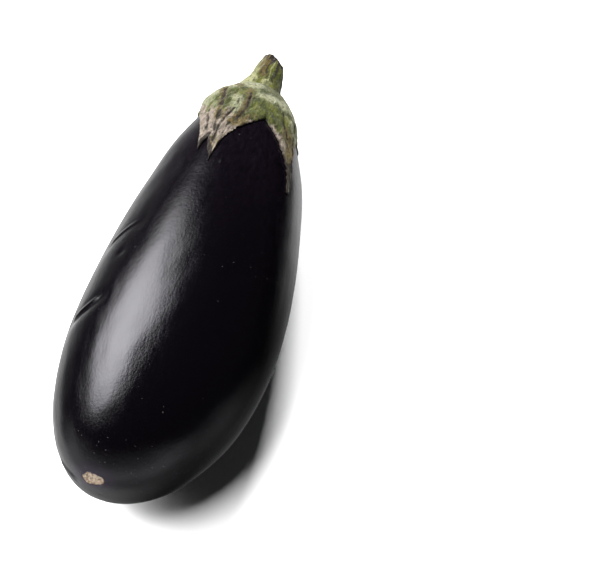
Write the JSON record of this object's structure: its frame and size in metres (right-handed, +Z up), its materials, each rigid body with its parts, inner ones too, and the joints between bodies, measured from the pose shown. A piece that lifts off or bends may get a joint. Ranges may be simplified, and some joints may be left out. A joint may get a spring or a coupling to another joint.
{
  "type": "eggplant",
  "caption": "A plump, glossy, near-black purple eggplant lying on its side, with a small tan blossom scar, a pointed leafy calyx cap and a short cut stalk.",
  "frame": {"origin": "on the floor plane, under the middle of the eggplant's bounding box, lying on its side", "axes": "+Y along the fruit from the blossom end to the stalk, +Z up, +X completes the right-handed frame"},
  "size_m": [0.0804, 0.2118, 0.0795],
  "materials": {
    "skin": "waxy, glossy near-black purple skin with soft creases and fine scratches",
    "calyx": "matt green leaf, dried grey-brown towards its tips",
    "stalk": "matt yellow-green ribbed stalk with a dry, dark brown cut end"
  },
  "bodies": {
    "root": {"fruit": "skin", "calyx": "calyx", "stalk": "stalk"}
  },
  "joints": []
}
